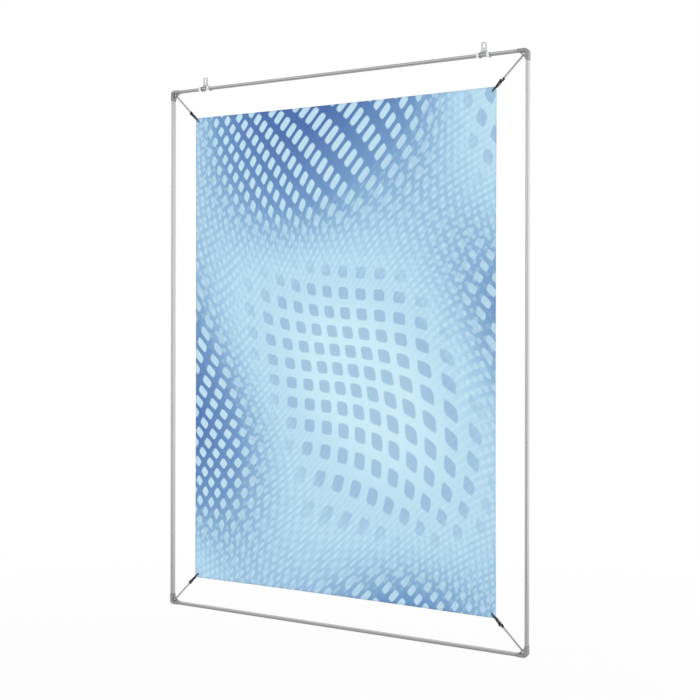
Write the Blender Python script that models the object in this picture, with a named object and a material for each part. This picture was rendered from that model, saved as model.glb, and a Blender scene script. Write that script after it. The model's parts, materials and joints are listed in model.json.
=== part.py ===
"""A hanging frame that stretches a printed fabric sheet by its four corners.

Four flat aluminium tubes meet in moulded corners. From each corner an elastic cord runs inwards along the
diagonal to a spring clip, and the four clips hold the sheet. Two clear hangers snap over the top tube.
Metres, +Z up, front towards -Y. The origin is midway between the two hanger eyes, where they bear.
"""

import math

import bmesh
import bpy
from mathutils import Matrix, Vector

# Driving dimensions, in metres and degrees

# Gap left between pieces that seat on, in or around each other
SEAT_GAP = 0.0003

# Printed sheet
PRINT_WIDTH = 0.594
PRINT_HEIGHT = 0.841
PRINT_THICKNESS = 0.0006

# From the sheet's edge to the outside of the frame
EDGE_GAP = 0.054

# Rails: rounded flat tube with its narrow side to the front
RAIL_FACE = 0.0045
RAIL_DEPTH = 0.010
RAIL_WALL = 0.0008
RAIL_EDGE_RADIUS = 0.0013

# Corners: two legs with a spigot each, and a brace across the inside that the cord pulls on
CORNER_LEG = 0.018
CORNER_PROUD = 0.0004
CORNER_RADIUS = 0.0065
CORNER_EDGE_BEVEL = 0.0007
BRACE_LEG = 0.0105
BRACE_THICKNESS = 0.0016
BRACE_DEPTH = 0.0050
SPIGOT_LENGTH = 0.022

# Elastic cords and the sleeves crimped on their ends
CORD_DIAMETER = 0.0030
STOP_DIAMETER = 0.0039
STOP_LENGTH = 0.0030
STOP_BORE_GAP = 0.0001
STOP_BEVEL = 0.0002

# Clips: distances along the clip are from the sheet's corner, outwards
JAW_REACH = 0.011
JAW_WIDTH = 0.0030
JAW_TIP_WIDTH = 0.0016
JAW_THICKNESS = 0.0016
JAW_TIP_THICKNESS = 0.0008
JAW_TAPER = 0.0045
PIVOT_OFFSET = 0.0046
PIN_DIAMETER = 0.0016
PIN_OVERHANG = 0.0003
PIN_BORE_GAP = 0.00015
LUG_RADIUS = 0.0017
LUG_THICKNESS = 0.0007
LUG_FOOT = 0.0017
KNUCKLE_WIDTH = 0.0016
KNUCKLE_RADIUS = 0.00145  # slimmer than the lugs, so that the sheet's corner stays clear of it
HUB_RADIUS = 0.00265
HUB_START = 0.0116
HUB_NECK = 0.0020
HUB_BEVEL = 0.0003
TAB_START = 0.0018
TAB_RUN = 0.0070
TAB_ANGLE = 24.0
TAB_THICKNESS = 0.0011

# Leaf spring between the clip's hub and the lever's tab
LEAF_WIDTH = 0.0022
LEAF_THICKNESS = 0.0003
LEAF_FOOT_LENGTH = 0.0040
LEAF_BEND_RADIUS = 0.0006
LEAF_ARM_RUN = 0.0029

# Hangers: two collars round the top rail, a bridge, a tapered neck and an eye, set in from the frame's sides
HANGER_INSET = 0.076
HANGER_LENGTH = 0.0215
HANGER_WALL = 0.0014
HANGER_LIP = 0.0025
COLLAR_LENGTH = 0.0042
BRIDGE_WIDTH = 0.0080
NECK_BASE = 0.0130
NECK_RISE = 0.0056
EYE_WIDTH = 0.0052
EYE_HEIGHT = 0.0078
EYE_RIM = 0.0018
EYE_THICKNESS = 0.0030
EYE_EDGE_BEVEL = 0.0006

# Facets
ROUND_SIDES = 16
ARC_STEPS = 8
BEVEL_STEPS = 2
SMOOTH_BELOW = 35.0

# Worked out from the dimensions above

ROOT_TWO = math.sqrt(2)
FRAME_WIDTH = PRINT_WIDTH + 2 * EDGE_GAP
FRAME_HEIGHT = PRINT_HEIGHT + 2 * EDGE_GAP
RAIL_TOP = -(EYE_HEIGHT + EYE_RIM + NECK_RISE + HANGER_WALL + SEAT_GAP)
PRINT_CENTRE = RAIL_TOP - FRAME_HEIGHT / 2
OVERLAP = RAIL_WALL  # how far shapes that are fused run into each other

HANGER_X = FRAME_WIDTH / 2 - HANGER_INSET
CORD_RADIUS = CORD_DIAMETER / 2
STOP_RADIUS = STOP_DIAMETER / 2
PIN_RADIUS = PIN_DIAMETER / 2

# Along the diagonal from the clip's pivot, outwards
JAW_TIP_X = -(PIVOT_OFFSET + JAW_REACH)
HUB_X = HUB_START - PIVOT_OFFSET
POCKET_END_X = HUB_X + 2 * SEAT_GAP + STOP_LENGTH
HUB_END_X = POCKET_END_X + HUB_NECK
INNER_STOP_X = POCKET_END_X - SEAT_GAP - STOP_LENGTH
INNER_CORNER_X = (EDGE_GAP - RAIL_FACE - CORNER_PROUD) * ROOT_TWO - PIVOT_OFFSET
BRACE_FAR_X = INNER_CORNER_X - BRACE_LEG / ROOT_TWO + BRACE_THICKNESS
OUTER_STOP_X = BRACE_FAR_X + SEAT_GAP

# Clip surfaces, as distances from the sheet's middle plane
JAW_INNER = PRINT_THICKNESS / 2 + SEAT_GAP
JAW_OUTER = JAW_INNER + JAW_THICKNESS
ARCH_INNER = LUG_RADIUS + SEAT_GAP
KNUCKLE_SLOT = KNUCKLE_WIDTH / 2 + SEAT_GAP
LUG_OUTER = KNUCKLE_SLOT + LUG_THICKNESS
LUG_END_X = ARCH_INNER + LUG_FOOT
TAB_RISE = TAB_RUN * math.tan(math.radians(TAB_ANGLE))

# Each quadrant is the top right one, turned about Y by this many degrees
QUADRANTS = {
    "top_right": (1, 1, 0),
    "bottom_right": (1, -1, 90),
    "bottom_left": (-1, -1, 180),
    "top_left": (-1, 1, 270),
}


# Outlines

def arc(centre, radius, start, end, steps=ARC_STEPS):
    """Points on a circle from one angle to another, both ends included."""
    points = []
    for step in range(steps + 1):
        angle = math.radians(start + (end - start) * step / steps)
        points.append((centre[0] + radius * math.cos(angle), centre[1] + radius * math.sin(angle)))
    return points


def circle(radius):
    return arc((0, 0), radius, 0, 360, ROUND_SIDES)[:-1]


def rectangle(low_a, high_a, low_b, high_b):
    return [(low_a, low_b), (high_a, low_b), (high_a, high_b), (low_a, high_b)]


def rounded_rectangle(width, height, radius):
    across, up = width / 2 - radius, height / 2 - radius
    outline = []
    for quarter, (a, b) in enumerate(((across, up), (-across, up), (-across, -up), (across, -up))):
        outline += arc((a, b), radius, 90 * quarter, 90 * quarter + 90, BEVEL_STEPS + 1)
    return outline


def ribbon(path, thickness):
    """The outline of a strip of even thickness bent along a path."""
    sides = ([], [])
    for index, point in enumerate(path):
        before = Vector(path[max(index - 1, 0)])
        after = Vector(path[min(index + 1, len(path) - 1)])
        along = (after - before).normalized()
        across = Vector((-along.y, along.x)) * thickness / 2
        sides[0].append(tuple(Vector(point) + across))
        sides[1].append(tuple(Vector(point) - across))
    return sides[0] + sides[1][::-1]


# Solids

def ring_of(shape, outline, plane, level):
    """Vertices of an outline drawn in a plane such as "xz", at a level along the third axis."""
    first, second = ("xyz".index(axis) for axis in plane)
    verts = []
    for a, b in outline:
        place = [level, level, level]
        place[first], place[second] = a, b
        verts.append(shape.verts.new(place))
    return verts


def prism(outline, low, high, plane):
    """An outline drawn in a plane, running from low to high along the third axis."""
    shape = bmesh.new()
    face = shape.faces.new(ring_of(shape, outline, plane, low))
    far_side = bmesh.ops.extrude_face_region(shape, geom=[face])["geom"]
    travel = Vector((high - low,) * 3)
    for axis in plane:
        travel["xyz".index(axis)] = 0
    bmesh.ops.translate(shape, vec=travel, verts=[v for v in far_side if isinstance(v, bmesh.types.BMVert)])
    bmesh.ops.recalc_face_normals(shape, faces=shape.faces)
    return shape


def tube(outer, inner, low, high, plane):
    """A prism with a hole right through it. Both outlines have as many points."""
    shape = bmesh.new()
    rings = [ring_of(shape, *ring) for ring in (
        (outer, plane, low), (outer, plane, high), (inner, plane, high), (inner, plane, low))]
    for ring, following in zip(rings, rings[1:] + rings[:1]):
        for index in range(len(ring)):
            last = index - 1
            shape.faces.new((ring[last], ring[index], following[index], following[last]))
    bmesh.ops.recalc_face_normals(shape, faces=shape.faces)
    return shape


def soften_ends(shape, axis, width):
    """Bevels the rims of a prism's two ends."""
    index = "xyz".index(axis)
    levels = [v.co[index] for v in shape.verts]
    ends = (min(levels), max(levels))

    def on_an_end(edge):
        return any(all(abs(v.co[index] - level) < width / 10 for v in edge.verts) for level in ends)

    rims = [edge for edge in shape.edges if on_an_end(edge) and edge.calc_face_angle(0) > 0.5]
    bmesh.ops.bevel(
        shape, geom=rims, offset=width, segments=BEVEL_STEPS, profile=0.5, affect="EDGES", material=-1)
    return shape


def turned(shape, degrees, axis, shift=(0, 0, 0)):
    """A shape turned about an axis through the origin, then shifted."""
    bmesh.ops.rotate(shape, matrix=Matrix.Rotation(math.radians(degrees), 3, axis), verts=shape.verts)
    bmesh.ops.translate(shape, vec=shift, verts=shape.verts)
    return shape


def as_mesh(name, shape):
    mesh = bpy.data.meshes.new(name)
    shape.to_mesh(mesh)
    shape.free()
    return mesh


def fused(name, bodies, cuts=()):
    """One mesh: the bodies joined, then the cuts taken out of them."""
    helpers = []
    for shape in (*bodies, *cuts):
        helper = bpy.data.objects.new(name, as_mesh(name, shape))
        bpy.context.scene.collection.objects.link(helper)
        helpers.append(helper)
    for index, helper in enumerate(helpers[1:], 1):
        step = helpers[0].modifiers.new("step", "BOOLEAN")
        step.object = helper
        step.operation = "UNION" if index < len(bodies) else "DIFFERENCE"
        step.solver = "EXACT"
    graph = bpy.context.evaluated_depsgraph_get()
    mesh = bpy.data.meshes.new_from_object(helpers[0].evaluated_get(graph))
    mesh.name = name
    for helper in helpers:
        bpy.data.objects.remove(helper)
    return mesh


# Scene

def material(name, colour, roughness, metallic=0.0):
    made = bpy.data.materials.new(name)
    made.use_nodes = True
    shader = made.node_tree.nodes["Principled BSDF"]
    shader.inputs["Base Color"].default_value = (*colour, 1)
    shader.inputs["Roughness"].default_value = roughness
    shader.inputs["Metallic"].default_value = metallic
    return made


def anchor(name, location, turn=0.0, parent=None):
    """An empty that carries pieces, turned about Y by so many degrees."""
    empty = bpy.data.objects.new(name, None)
    empty.location = location
    empty.rotation_euler = (0, math.radians(turn), 0)
    empty.parent = parent
    bpy.context.scene.collection.objects.link(empty)
    return empty


def place(name, mesh, finish, parent, location=(0, 0, 0)):
    if not mesh.materials:
        mesh.materials.append(finish)
        mesh.shade_smooth()
        mesh.set_sharp_from_angle(angle=math.radians(SMOOTH_BELOW))
    piece = bpy.data.objects.new(name, mesh)
    piece.parent = parent
    piece.location = location
    bpy.context.scene.collection.objects.link(piece)
    return piece


# Frame

def rail_mesh(name, length, plane):
    """A rail along the axis that the plane leaves out, with the plane's axes in the order face, depth."""
    outer = rounded_rectangle(RAIL_FACE, RAIL_DEPTH, RAIL_EDGE_RADIUS)
    inner_radius = max(RAIL_EDGE_RADIUS - RAIL_WALL, RAIL_WALL / 4)
    inner = rounded_rectangle(RAIL_FACE - 2 * RAIL_WALL, RAIL_DEPTH - 2 * RAIL_WALL, inner_radius)
    return as_mesh(name, tube(outer, inner, -length / 2, length / 2, plane))


def corner_mesh():
    """The top right corner, with the rails' outer faces meeting at the origin."""
    inner_face = -(RAIL_FACE + CORNER_PROUD)
    round_centre = (CORNER_PROUD - CORNER_RADIUS, CORNER_PROUD - CORNER_RADIUS)
    elbow_outline = [
        (-CORNER_LEG, inner_face), (inner_face, inner_face), (inner_face, -CORNER_LEG),
        (CORNER_PROUD, -CORNER_LEG), *arc(round_centre, CORNER_RADIUS, 0, 90), (-CORNER_LEG, CORNER_PROUD),
    ]
    half_depth = RAIL_DEPTH / 2 + CORNER_PROUD
    elbow = soften_ends(prism(elbow_outline, -half_depth, half_depth, "xz"), "y", CORNER_EDGE_BEVEL)

    half_face = RAIL_FACE / 2 - RAIL_WALL - SEAT_GAP
    half_bore = RAIL_DEPTH / 2 - RAIL_WALL - SEAT_GAP
    spigot_end, spigot_root = -(CORNER_LEG + SPIGOT_LENGTH), OVERLAP - CORNER_LEG
    centre = -RAIL_FACE / 2
    across = (centre - half_face, centre + half_face)
    spigots = [
        prism(rectangle(spigot_end, spigot_root, *across), -half_bore, half_bore, "xz"),
        prism(rectangle(*across, spigot_end, spigot_root), -half_bore, half_bore, "xz"),
    ]

    # The brace and the cord's hole are drawn with the diagonal along X, then turned into place
    inner_corner = inner_face * ROOT_TWO
    brace_near = inner_corner - BRACE_LEG / ROOT_TWO
    brace_half = BRACE_LEG / ROOT_TWO + OVERLAP
    brace = prism(
        rectangle(brace_near, brace_near + BRACE_THICKNESS, -brace_half, brace_half),
        -BRACE_DEPTH / 2, BRACE_DEPTH / 2, "xz")
    hole = prism(
        circle(CORD_RADIUS + SEAT_GAP),
        brace_near - OVERLAP, brace_near + BRACE_THICKNESS + OVERLAP, "yz")
    return fused("corner", [elbow, *spigots, turned(brace, -45, "Y")], [turned(hole, -45, "Y")])


# Cords

def cord_mesh():
    return as_mesh("cord", prism(circle(CORD_RADIUS), INNER_STOP_X, OUTER_STOP_X + STOP_LENGTH, "yz"))


def cord_stop_mesh():
    shape = tube(circle(STOP_RADIUS), circle(CORD_RADIUS + STOP_BORE_GAP), 0, STOP_LENGTH, "yz")
    rims = [e for e in shape.edges if abs(e.verts[0].co.x - e.verts[1].co.x) < STOP_BEVEL / 10
            and all(v.co.yz.length > (STOP_RADIUS + CORD_RADIUS) / 2 for v in e.verts)]
    bmesh.ops.bevel(
        shape, geom=rims, offset=STOP_BEVEL, segments=BEVEL_STEPS, profile=0.5, affect="EDGES", material=-1)
    return as_mesh("cord_stop", shape)


# Clips, with the pivot at the origin and the sheet's corner towards -X

def narrowed(shape):
    """A jaw drawn in on both sides, from its full width at the lugs to its tip."""
    run = JAW_TIP_X + LUG_END_X
    draw_in = (JAW_WIDTH - JAW_TIP_WIDTH) / 2
    for side in (-1, 1):
        cut = bmesh.ops.bisect_plane(
            shape, geom=[*shape.verts, *shape.edges, *shape.faces],
            plane_co=(-LUG_END_X, 0, side * JAW_WIDTH / 2), plane_no=(-draw_in, 0, -side * run),
            clear_outer=True)["geom_cut"]
        rim = [part for part in cut if isinstance(part, bmesh.types.BMEdge)]
        bmesh.ops.contextual_create(shape, geom=rim)
    bmesh.ops.recalc_face_normals(shape, faces=shape.faces)
    return shape


def clip_base_mesh():
    """The rear jaw, the two lugs for the pin, and the hub that the cord's end sits in."""
    jaw = prism([
        (JAW_TIP_X, JAW_INNER), (-ARCH_INNER, JAW_INNER), (-ARCH_INNER, JAW_OUTER),
        (JAW_TIP_X + JAW_TAPER, JAW_OUTER), (JAW_TIP_X, JAW_INNER + JAW_TIP_THICKNESS),
    ], -JAW_WIDTH / 2, JAW_WIDTH / 2, "xy")
    spine = prism(
        rectangle(ARCH_INNER, HUB_X + OVERLAP, JAW_INNER, JAW_OUTER), -JAW_WIDTH / 2, JAW_WIDTH / 2, "xy")
    lug_outline = [
        (LUG_END_X, JAW_OUTER), (-LUG_END_X, JAW_OUTER), (-LUG_END_X, JAW_INNER), (-LUG_RADIUS, JAW_INNER),
        *arc((0, 0), LUG_RADIUS, 180, 360), (LUG_RADIUS, JAW_INNER), (LUG_END_X, JAW_INNER),
    ]
    lug_levels = ((KNUCKLE_SLOT, LUG_OUTER), (-LUG_OUTER, -KNUCKLE_SLOT))
    lugs = [prism(lug_outline, *levels, "xy") for levels in lug_levels]
    hub = soften_ends(prism(circle(HUB_RADIUS), HUB_X, HUB_END_X, "yz"), "x", HUB_BEVEL)
    pocket = prism(circle(STOP_RADIUS + SEAT_GAP), HUB_X - OVERLAP, POCKET_END_X, "yz")
    bore = prism(circle(CORD_RADIUS + SEAT_GAP), POCKET_END_X - OVERLAP, HUB_END_X + OVERLAP, "yz")
    pin_hole = prism(circle(PIN_RADIUS + PIN_BORE_GAP), -LUG_OUTER - OVERLAP, LUG_OUTER + OVERLAP, "xy")
    return fused("clip_base", [narrowed(jaw), spine, *lugs, hub], [pocket, bore, pin_hole])


def clip_lever_mesh():
    """The front jaw, arched over the lugs, with a finger tab beyond the pivot."""
    arch_start = 180 + math.degrees(math.asin(JAW_INNER / ARCH_INNER))
    arch_outer = ARCH_INNER + TAB_THICKNESS
    tab_end = TAB_START + TAB_RUN
    tilt = math.radians(TAB_ANGLE)
    across_tab = Vector((math.sin(tilt), math.cos(tilt))) * TAB_THICKNESS
    plate_outline = [
        (JAW_TIP_X, -JAW_INNER), *arc((0, 0), ARCH_INNER, arch_start, 270),
        (TAB_START, -ARCH_INNER), (tab_end, -ARCH_INNER - TAB_RISE),
        (tab_end - across_tab.x, -ARCH_INNER - TAB_RISE - across_tab.y),
        (TAB_START - across_tab.x, -arch_outer), (-TAB_START, -arch_outer),
        (-TAB_START - 2 * TAB_THICKNESS, -JAW_OUTER), (JAW_TIP_X + JAW_TAPER, -JAW_OUTER),
        (JAW_TIP_X, -JAW_INNER - JAW_TIP_THICKNESS),
    ]
    plate = narrowed(prism(plate_outline, -JAW_WIDTH / 2, JAW_WIDTH / 2, "xy"))
    knuckle = prism([
        (-KNUCKLE_RADIUS, -ARCH_INNER - TAB_THICKNESS / 2), (KNUCKLE_RADIUS, -ARCH_INNER - TAB_THICKNESS / 2),
        *arc((0, 0), KNUCKLE_RADIUS, 0, 180),
    ], -KNUCKLE_WIDTH / 2, KNUCKLE_WIDTH / 2, "xy")
    pin_hole = prism(circle(PIN_RADIUS + PIN_BORE_GAP), -JAW_WIDTH, JAW_WIDTH, "xy")
    return fused("clip_lever", [plate, knuckle], [pin_hole])


def clip_pin_mesh():
    end = LUG_OUTER + PIN_OVERHANG
    return as_mesh("clip_pin", soften_ends(prism(circle(PIN_RADIUS), -end, end, "xy"), "z", PIN_OVERHANG / 2))


def clip_spring_mesh():
    """A strip folded back on itself: a foot along the hub, a round bend, and an arm to the tab."""
    foot_y = -(HUB_RADIUS + SEAT_GAP + LEAF_THICKNESS / 2)
    foot_x = HUB_X + HUB_BEVEL
    bend = (foot_x + LEAF_FOOT_LENGTH, foot_y - LEAF_BEND_RADIUS)
    arm_x = bend[0] - LEAF_ARM_RUN
    tab_y = -ARCH_INNER - (arm_x - TAB_START) * math.tan(math.radians(TAB_ANGLE))
    arm_y = tab_y + (SEAT_GAP + LEAF_THICKNESS / 2) / math.cos(math.radians(TAB_ANGLE))
    path = [(foot_x, foot_y), *arc(bend, LEAF_BEND_RADIUS, 90, -90), (arm_x, arm_y)]
    return as_mesh("clip_spring", prism(ribbon(path, LEAF_THICKNESS), -LEAF_WIDTH / 2, LEAF_WIDTH / 2, "xy"))


# Hangers, with the eye's bearing point at the origin

def hanger_mesh():
    inner_y = RAIL_DEPTH / 2 + SEAT_GAP
    outer_y = inner_y + HANGER_WALL
    inner_top, inner_bottom = RAIL_TOP + SEAT_GAP, RAIL_TOP - RAIL_FACE - SEAT_GAP
    outer_top, outer_bottom = inner_top + HANGER_WALL, inner_bottom - HANGER_WALL
    lip_y = inner_y - HANGER_LIP
    collar_outline = [
        (-outer_y, outer_top), (-outer_y, outer_bottom), (-lip_y, outer_bottom), (-lip_y, inner_bottom),
        (-inner_y, inner_bottom), (-inner_y, inner_top), (inner_y, inner_top), (inner_y, inner_bottom),
        (lip_y, inner_bottom), (lip_y, outer_bottom), (outer_y, outer_bottom), (outer_y, outer_top),
    ]
    half = HANGER_LENGTH / 2
    collar_levels = ((-half, COLLAR_LENGTH - half), (half - COLLAR_LENGTH, half))
    collars = [prism(collar_outline, *levels, "yz") for levels in collar_levels]
    reach = half - COLLAR_LENGTH / 2
    bridge = prism(rectangle(-reach, reach, -BRIDGE_WIDTH / 2, BRIDGE_WIDTH / 2), inner_top, outer_top, "xy")

    eye_half = EYE_WIDTH / 2 + EYE_RIM
    neck_top = -(EYE_HEIGHT + EYE_RIM)
    foot = inner_top + HANGER_WALL / 2
    upright = prism([
        (-NECK_BASE / 2, foot), (NECK_BASE / 2, foot), (NECK_BASE / 2, outer_top), (eye_half, neck_top),
        *arc((0, -EYE_WIDTH / 2), eye_half, 0, 180), (-eye_half, neck_top), (-NECK_BASE / 2, outer_top),
    ], -EYE_THICKNESS / 2, EYE_THICKNESS / 2, "xz")
    soften_ends(upright, "y", EYE_EDGE_BEVEL)
    round_half = EYE_WIDTH / 2
    eye = prism([
        *arc((0, -round_half), round_half, 0, 180), *arc((0, round_half - EYE_HEIGHT), round_half, 180, 360),
    ], -EYE_THICKNESS, EYE_THICKNESS, "xz")
    return fused("hanger", [*collars, bridge, upright], [eye])


# Assembly

def add_frame(aluminium, plastic):
    end_gap = CORNER_LEG + SEAT_GAP
    across = rail_mesh("rail_across", FRAME_WIDTH - 2 * end_gap, "zy")
    upright = rail_mesh("rail_upright", FRAME_HEIGHT - 2 * end_gap, "xy")
    centre = anchor("frame_centre", (0, 0, PRINT_CENTRE))
    high, wide = (FRAME_HEIGHT - RAIL_FACE) / 2, (FRAME_WIDTH - RAIL_FACE) / 2
    place("top_rail", across, aluminium, centre, (0, 0, high))
    place("bottom_rail", across, aluminium, centre, (0, 0, -high))
    place("left_rail", upright, aluminium, centre, (-wide, 0, 0))
    place("right_rail", upright, aluminium, centre, (wide, 0, 0))
    corner = corner_mesh()
    quadrants = {}
    for name, (side, level, turn) in QUADRANTS.items():
        sheet_corner = (side * PRINT_WIDTH / 2, 0, PRINT_CENTRE + level * PRINT_HEIGHT / 2)
        quadrants[name] = anchor(f"quadrant_{name}", sheet_corner, turn)
        place(f"corner_{name}", corner, plastic, quadrants[name], (EDGE_GAP, 0, EDGE_GAP))
    return quadrants


def add_clips(quadrants, nylon, steel, elastic, crimp):
    base, lever, pin, leaf = clip_base_mesh(), clip_lever_mesh(), clip_pin_mesh(), clip_spring_mesh()
    cord, stop = cord_mesh(), cord_stop_mesh()
    step = PIVOT_OFFSET / ROOT_TWO
    for name, quadrant in quadrants.items():
        pivot = anchor(f"pivot_{name}", (step, 0, step), -45, quadrant)
        place(f"clip_base_{name}", base, nylon, pivot)
        place(f"clip_lever_{name}", lever, nylon, pivot)
        place(f"clip_pin_{name}", pin, steel, pivot)
        place(f"clip_spring_{name}", leaf, steel, pivot)
        place(f"cord_{name}", cord, elastic, pivot)
        place(f"cord_stop_inner_{name}", stop, crimp, pivot, (INNER_STOP_X, 0, 0))
        place(f"cord_stop_outer_{name}", stop, crimp, pivot, (OUTER_STOP_X, 0, 0))


def add_sheet(fabric):
    outline = rectangle(-PRINT_WIDTH / 2, PRINT_WIDTH / 2, -PRINT_HEIGHT / 2, PRINT_HEIGHT / 2)
    sheet = as_mesh("printed_sheet", prism(outline, -PRINT_THICKNESS / 2, PRINT_THICKNESS / 2, "xz"))
    place("printed_sheet", sheet, fabric, None, (0, 0, PRINT_CENTRE))


def add_hangers(clear):
    hanger = hanger_mesh()
    for name, side in (("left", -1), ("right", 1)):
        place(f"hanger_{name}", hanger, clear, None, (side * HANGER_X, 0, 0))


def main():
    for item in list(bpy.data.objects):
        bpy.data.objects.remove(item)
    aluminium = material("satin_aluminium", (0.62, 0.63, 0.64), 0.35, 1.0)
    plastic = material("grey_plastic", (0.20, 0.20, 0.21), 0.45)
    nylon = material("black_nylon", (0.02, 0.02, 0.022), 0.4)
    steel = material("spring_steel", (0.55, 0.55, 0.56), 0.3, 1.0)
    elastic = material("grey_elastic", (0.28, 0.28, 0.29), 0.8)
    crimp = material("crimp_aluminium", (0.6, 0.6, 0.6), 0.4, 1.0)
    fabric = material("printed_fabric", (0.42, 0.65, 0.85), 0.8)
    clear = material("clear_plastic", (0.85, 0.87, 0.88), 0.15)
    quadrants = add_frame(aluminium, plastic)
    add_clips(quadrants, nylon, steel, elastic, crimp)
    add_sheet(fabric)
    add_hangers(clear)


main()
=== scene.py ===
import json
import math

import bmesh
import bpy
from mathutils import Matrix, Vector


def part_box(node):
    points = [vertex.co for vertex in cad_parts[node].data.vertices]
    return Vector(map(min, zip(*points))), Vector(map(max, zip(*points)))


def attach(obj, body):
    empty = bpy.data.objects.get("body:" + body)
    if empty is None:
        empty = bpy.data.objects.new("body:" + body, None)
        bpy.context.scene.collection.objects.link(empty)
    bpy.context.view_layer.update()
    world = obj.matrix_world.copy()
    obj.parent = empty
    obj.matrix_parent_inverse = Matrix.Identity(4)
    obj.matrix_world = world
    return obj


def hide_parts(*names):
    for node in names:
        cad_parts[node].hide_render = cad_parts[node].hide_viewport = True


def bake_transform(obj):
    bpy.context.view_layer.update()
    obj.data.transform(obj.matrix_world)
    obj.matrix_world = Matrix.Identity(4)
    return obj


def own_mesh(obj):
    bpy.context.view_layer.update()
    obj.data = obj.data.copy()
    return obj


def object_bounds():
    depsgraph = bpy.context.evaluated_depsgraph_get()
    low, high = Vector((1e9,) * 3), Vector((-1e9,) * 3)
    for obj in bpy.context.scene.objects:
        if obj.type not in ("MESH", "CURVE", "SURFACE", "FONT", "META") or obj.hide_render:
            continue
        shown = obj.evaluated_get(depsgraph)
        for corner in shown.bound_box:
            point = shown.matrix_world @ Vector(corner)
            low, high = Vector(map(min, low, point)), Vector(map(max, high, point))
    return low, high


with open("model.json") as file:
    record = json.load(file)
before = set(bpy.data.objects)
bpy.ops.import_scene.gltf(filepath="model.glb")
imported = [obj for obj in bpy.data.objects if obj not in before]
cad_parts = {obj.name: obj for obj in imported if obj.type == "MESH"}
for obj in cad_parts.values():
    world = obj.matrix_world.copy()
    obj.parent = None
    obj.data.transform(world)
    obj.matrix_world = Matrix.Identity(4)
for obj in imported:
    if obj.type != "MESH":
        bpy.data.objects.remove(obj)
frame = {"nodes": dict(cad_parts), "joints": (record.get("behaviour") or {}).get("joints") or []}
cadLow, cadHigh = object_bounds()
print("frame loaded,", len(frame["nodes"]), "nodes")

mm = 0.001
mergeDistance = 0.001 * mm  # points closer than this are one
closeTo = 0.01 * mm         # an edge this near to a place counts as there
inLine = 0.99               # share of its length along an axis that counts as lying along it
cutPast = 1 * mm            # how far a cut runs on past what it cuts
nearlyAll = 0.98            # share of its half width that rounds an end, and leaves a hair of flat
flatAngle = 0.2             # degrees, faces that turn by less are one
sharpAngle = 40             # degrees, edges that turn by more look sharp
quadrants = ("top_right", "bottom_right", "bottom_left", "top_left")
frontView = Matrix.Rotation(math.radians(90), 4, "X")  # an outline in XY stands up in XZ


# Places, all taken from the frame

joints = {joint["name"]: joint for joint in frame["joints"]}
cordAxis = Vector((1, 0, 0))  # in a clip's own axes
pinAxis = Vector((0, 0, 1))


def clipPlace(quadrant):
    # the clip's own axes: X out along the cord, Y to the back, Z along the pivot pin
    hinge = joints[f"jaw_{quadrant}_hinge"]
    outward = Vector(joints[f"clip_{quadrant}_pull"]["axis"])
    place = Matrix((outward, (0, 1, 0), Vector(hinge["axis"]))).transposed().to_4x4()
    place.translation = hinge["pos_m"]
    return place


places = {quadrant: clipPlace(quadrant) for quadrant in quadrants}
firstPlace = places["top_right"]


def firstBox(node):
    # lowest and highest corners in the clip's own axes, at the top right: its pieces serve all four places
    toLocal = firstPlace.inverted()
    points = [toLocal @ vertex.co for vertex in frame["nodes"][f"{node}_top_right"].data.vertices]
    low = Vector([min(point[axis] for point in points) for axis in range(3)])
    high = Vector([max(point[axis] for point in points) for axis in range(3)])
    return low, high


# Materials

def linearColour(code):
    # sRGB hex to the linear values that the shaders take
    levels = [int(code[start:start + 2], 16) / 255 for start in (1, 3, 5)]
    linear = [level / 12.92 if level <= 0.04045 else ((level + 0.055) / 1.055) ** 2.4 for level in levels]
    return [*linear, 1]


def addNode(tree, kind, settings=None, links=None):
    # a setting is an input by name or number, a property, or the stops of a ramp
    node = tree.nodes.new(f"ShaderNode{kind}")
    for name, value in (settings or {}).items():
        if name == "stops":
            ramp = node.color_ramp.elements
            for index, (position, code) in enumerate(value):
                stop = ramp[index] if index < 2 else ramp.new(position)
                stop.position = position
                stop.color = linearColour(code)
        elif isinstance(name, int) or name in node.inputs:
            node.inputs[name].default_value = value
        else:
            setattr(node, name, value)
    for name, source in (links or {}).items():
        tree.links.new(source, node.inputs[name])
    return node


mixA, mixB, mixResult = 6, 7, 2  # the colour sockets of a Mix node


def newMaterial(name, **sockets):
    material = bpy.data.materials.new(name)
    material.use_nodes = True
    tree = material.node_tree
    shader = tree.nodes["Principled BSDF"]
    for socket, value in sockets.items():
        shader.inputs[socket.replace("_", " ")].default_value = value
    return material, tree, shader


def tintAndGloss(tree, shader, stops, tintBy, gloss, glossBy):
    # the colour follows one pattern and the roughness another, or the same one
    tint = addNode(tree, "ValToRGB", {"stops": stops}, {"Fac": tintBy})
    rough = addNode(tree, "MapRange", {"To Min": gloss[0], "To Max": gloss[1]}, {"Value": glossBy})
    tree.links.new(tint.outputs["Color"], shader.inputs["Base Color"])
    tree.links.new(rough.outputs["Result"], shader.inputs["Roughness"])


aluminiumLook = {
    "upright": ((0.3, "#9c9d9e"), (0.7, "#a5a6a7")),
    "level": ((0.3, "#8b8c8d"), (0.7, "#949596")),  # painted shade: the level bars are drawn a shade darker than the uprights, for the light that falls less on them
    "dieLine": 0.9 * mm,     # real die lines are about 0.1 mm, drawn coarser so that they show
    "lineLength": 120 * mm,
    "relief": 0.03 * mm,
    "gloss": (0.40, 0.44),
}


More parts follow.
